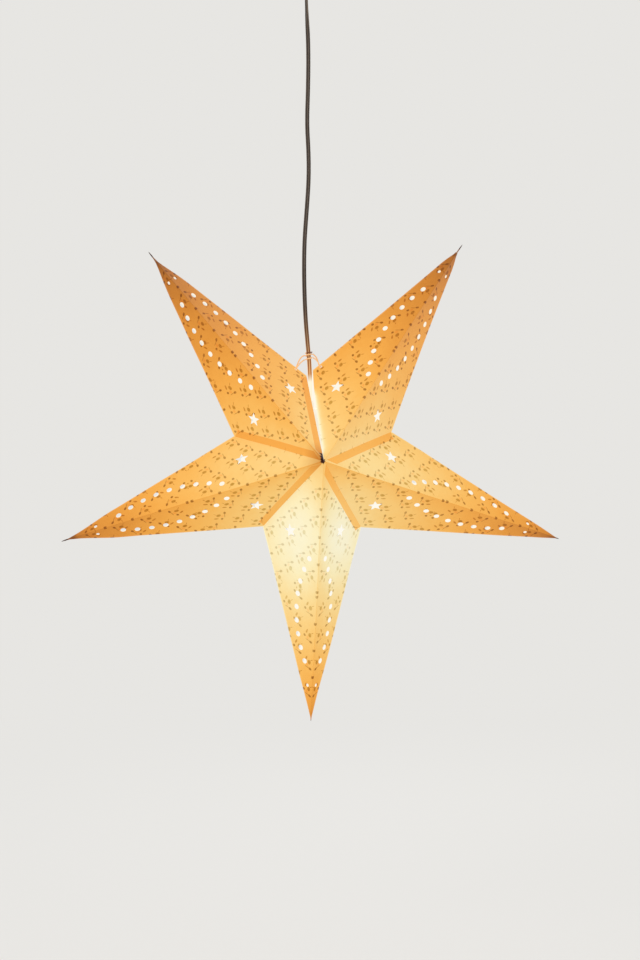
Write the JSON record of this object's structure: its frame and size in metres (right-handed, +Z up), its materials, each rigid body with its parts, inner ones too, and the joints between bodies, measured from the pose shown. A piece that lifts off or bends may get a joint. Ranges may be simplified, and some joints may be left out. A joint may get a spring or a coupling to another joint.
{
  "type": "paper star lantern",
  "caption": "Hanging five-pointed lantern of folded, printed and punched paper with a lamp inside, on a twin flex from a ceiling rose; the star opens along its folds",
  "frame": {"origin": "on the ceiling, at the middle of the ceiling rose's strap", "axes": "+Z up into the ceiling, +X to the right seen from the front, +Y away from the viewer through the thickness of the star"},
  "size_m": [0.593, 0.1774, 0.9331],
  "materials": {
    "printed_paper": "off-white printed paper, translucent",
    "plain_paper": "the same paper without print",
    "string": "cream cotton string",
    "flex_pvc": "grey translucent PVC",
    "core_pvc": "PVC insulation",
    "zinc_steel": "zinc plated",
    "screw_steel": "zinc plated",
    "rose_paint": "white satin paint",
    "white_nylon": "moulded nylon",
    "brass": "plain brass",
    "white_plastic": "moulded white plastic",
    "porcelain": "glazed",
    "nickel": "plain",
    "solder": "solder",
    "black_glass": "glossy",
    "opal_glass": "frosted",
    "clear_glass": "clear",
    "filament": "phosphor coated"
  },
  "bodies": {
    "rose": {"rose_strap": "zinc_steel", "rose_cup": "rose_paint", "rose_screws": "screw_steel", "rose_seat": "white_nylon", "terminal_block": "white_nylon", "block_screws": "screw_steel", "core_tails": "core_pvc"},
    "ball": {"swivel_ball": "brass"},
    "lamp": {"flex_clamp": "white_plastic", "clamp_screw": "screw_steel", "flex": "flex_pvc", "tie_winding": "string", "tie_right": "string", "holder_grip": "white_plastic", "holder_cap": "white_plastic", "holder_shell": "white_plastic", "holder_insert": "porcelain", "holder_screws": "screw_steel", "holder_tails": "core_pvc", "socket_shell": "brass", "centre_contact": "brass"},
    "bulb": {"bulb_tip": "solder", "bulb_insulator": "black_glass", "bulb_cap": "nickel", "bulb_glass": "opal_glass", "bulb_stem": "clear_glass", "bulb_filaments": "filament"},
    "front_1": {"front_facet_1": "printed_paper"},
    "front_2": {"front_facet_2": "printed_paper"},
    "front_3": {"front_facet_3": "printed_paper", "front_tab_1": "plain_paper"},
    "front_4": {"front_facet_4": "printed_paper"},
    "front_5": {"front_facet_5": "printed_paper", "front_tab_2": "plain_paper"},
    "front_6": {"front_facet_6": "printed_paper"},
    "front_7": {"front_facet_7": "printed_paper", "front_tab_3": "plain_paper"},
    "front_8": {"front_facet_8": "printed_paper"},
    "front_9": {"front_facet_9": "printed_paper", "front_tab_4": "plain_paper"},
    "front_10": {"front_facet_10": "printed_paper", "front_tab_5": "plain_paper", "tie_left": "string"},
    "back_1": {"back_facet_1": "printed_paper"},
    "back_2": {"back_facet_2": "printed_paper"},
    "back_3": {"back_facet_3": "printed_paper", "back_tab_1": "plain_paper"},
    "back_4": {"back_facet_4": "printed_paper"},
    "back_5": {"back_facet_5": "printed_paper", "back_tab_2": "plain_paper"},
    "back_6": {"back_facet_6": "printed_paper"},
    "back_7": {"back_facet_7": "printed_paper", "back_tab_3": "plain_paper"},
    "back_8": {"back_facet_8": "printed_paper"},
    "back_9": {"back_facet_9": "printed_paper", "back_tab_4": "plain_paper"},
    "back_10": {"back_facet_10": "printed_paper", "back_tab_5": "plain_paper"}
  },
  "joints": [
    {"name": "swing_front_back", "type": "hinge", "parent": "rose", "child": "ball", "pos_m": [0, 0, -0.032], "axis": [1, 0, 0], "range_deg": [-6, 6], "deforming": ["core_tails"]},
    {"name": "swing_side", "type": "hinge", "parent": "ball", "child": "lamp", "pos_m": [0, 0, -0.032], "axis": [0, 1, 0], "range_deg": [-6, 6], "deforming": ["core_tails"]},
    {"name": "bulb_out", "type": "slide", "parent": "lamp", "child": "bulb", "axis": [0, 0, -1], "range_m": [0, 0.024]},
    {"name": "open_star", "type": "hinge", "parent": "lamp", "child": "front_1", "pos_m": [0.00356, 0, -0.51806], "axis": [-0.7862, 0, -0.6179], "range_deg": [0, 9.3]},
    {"name": "front_ridge_1", "type": "hinge", "parent": "front_1", "child": "front_2", "pos_m": [0, -0.09, -0.62], "axis": [0.5869, 0.2731, 0.7622], "range_deg": [0, 18.95]},
    {"name": "front_valley_2", "type": "hinge", "parent": "front_2", "child": "front_3", "pos_m": [0, -0.09, -0.62], "axis": [-0.7178, -0.6616, -0.2167], "range_deg": [0, 18]},
    {"name": "front_ridge_3", "type": "hinge", "parent": "front_3", "child": "front_4", "pos_m": [0, -0.09, -0.62], "axis": [0.9107, 0.2731, -0.31], "range_deg": [0, 18.95]},
    {"name": "front_valley_4", "type": "hinge", "parent": "front_4", "child": "front_5", "pos_m": [0, -0.09, -0.62], "axis": [-0.4365, -0.6616, 0.6097], "range_deg": [0, 18]},
    {"name": "front_ridge_5", "type": "hinge", "parent": "front_5", "child": "front_6", "pos_m": [0, -0.09, -0.62], "axis": [0, 0.2731, -0.962], "range_deg": [0, 18.95]},
    {"name": "front_valley_6", "type": "hinge", "parent": "front_6", "child": "front_7", "pos_m": [0, -0.09, -0.62], "axis": [0.4365, -0.6616, 0.6097], "range_deg": [0, 18]},
    {"name": "front_ridge_7", "type": "hinge", "parent": "front_7", "child": "front_8", "pos_m": [0, -0.09, -0.62], "axis": [-0.9107, 0.2731, -0.31], "range_deg": [0, 18.95]},
    {"name": "front_valley_8", "type": "hinge", "parent": "front_8", "child": "front_9", "pos_m": [0, -0.09, -0.62], "axis": [0.7178, -0.6616, -0.2167], "range_deg": [0, 18]},
    {"name": "front_ridge_9", "type": "hinge", "parent": "front_9", "child": "front_10", "pos_m": [0, -0.09, -0.62], "axis": [-0.5869, 0.2731, 0.7622], "range_deg": [0, 18.95]},
    {"name": "outer_edge_1", "type": "hinge", "parent": "front_1", "child": "back_1", "pos_m": [0.00356, 0, -0.51806], "axis": [0.7862, 0, 0.6179], "range_deg": [0, 18.6]},
    {"name": "outer_edge_2", "type": "hinge", "parent": "front_2", "child": "back_2", "pos_m": [0.09765, 0, -0.59052], "axis": [-0.3966, 0, -0.918], "range_deg": [0, 18.6]},
    {"name": "outer_edge_3", "type": "hinge", "parent": "front_3", "child": "back_3", "pos_m": [0.09765, 0, -0.59052], "axis": [0.8383, 0, -0.5451], "range_deg": [0, 18.6]},
    {"name": "outer_edge_4", "type": "hinge", "parent": "front_4", "child": "back_4", "pos_m": [0.05938, 0, -0.70294], "axis": [-0.9968, 0, 0.0796], "range_deg": [0, 18.6]},
    {"name": "outer_edge_5", "type": "hinge", "parent": "front_5", "child": "back_5", "pos_m": [0.05938, 0, -0.70294], "axis": [-0.2459, 0, -0.9693], "range_deg": [0, 18.6]},
    {"name": "outer_edge_6", "type": "hinge", "parent": "front_6", "child": "back_6", "pos_m": [-0.05938, 0, -0.70294], "axis": [-0.2459, 0, 0.9693], "range_deg": [0, 18.6]},
    {"name": "outer_edge_7", "type": "hinge", "parent": "front_7", "child": "back_7", "pos_m": [-0.05938, 0, -0.70294], "axis": [-0.9968, 0, -0.0796], "range_deg": [0, 18.6]},
    {"name": "outer_edge_8", "type": "hinge", "parent": "front_8", "child": "back_8", "pos_m": [-0.09765, 0, -0.59052], "axis": [0.8383, 0, 0.5451], "range_deg": [0, 18.6]},
    {"name": "outer_edge_9", "type": "hinge", "parent": "front_9", "child": "back_9", "pos_m": [-0.09765, 0, -0.59052], "axis": [-0.3966, 0, 0.918], "range_deg": [0, 18.6]},
    {"name": "outer_edge_10", "type": "hinge", "parent": "front_10", "child": "back_10", "pos_m": [-0.00356, 0, -0.51806], "axis": [0.7862, 0, -0.6179], "range_deg": [0, 18.6]}
  ],
  "couplings": [
    {"joint": "front_ridge_1", "follows": "open_star", "ratio": 2.0378},
    {"joint": "front_valley_2", "follows": "open_star", "ratio": 1.935},
    {"joint": "front_ridge_3", "follows": "open_star", "ratio": 2.0378},
    {"joint": "front_valley_4", "follows": "open_star", "ratio": 1.935},
    {"joint": "front_ridge_5", "follows": "open_star", "ratio": 2.0378},
    {"joint": "front_valley_6", "follows": "open_star", "ratio": 1.935},
    {"joint": "front_ridge_7", "follows": "open_star", "ratio": 2.0378},
    {"joint": "front_valley_8", "follows": "open_star", "ratio": 1.935},
    {"joint": "front_ridge_9", "follows": "open_star", "ratio": 2.0378},
    {"joint": "outer_edge_1", "follows": "open_star", "ratio": 2},
    {"joint": "outer_edge_2", "follows": "open_star", "ratio": 2},
    {"joint": "outer_edge_3", "follows": "open_star", "ratio": 2},
    {"joint": "outer_edge_4", "follows": "open_star", "ratio": 2},
    {"joint": "outer_edge_5", "follows": "open_star", "ratio": 2},
    {"joint": "outer_edge_6", "follows": "open_star", "ratio": 2},
    {"joint": "outer_edge_7", "follows": "open_star", "ratio": 2},
    {"joint": "outer_edge_8", "follows": "open_star", "ratio": 2},
    {"joint": "outer_edge_9", "follows": "open_star", "ratio": 2},
    {"joint": "outer_edge_10", "follows": "open_star", "ratio": 2}
  ]
}
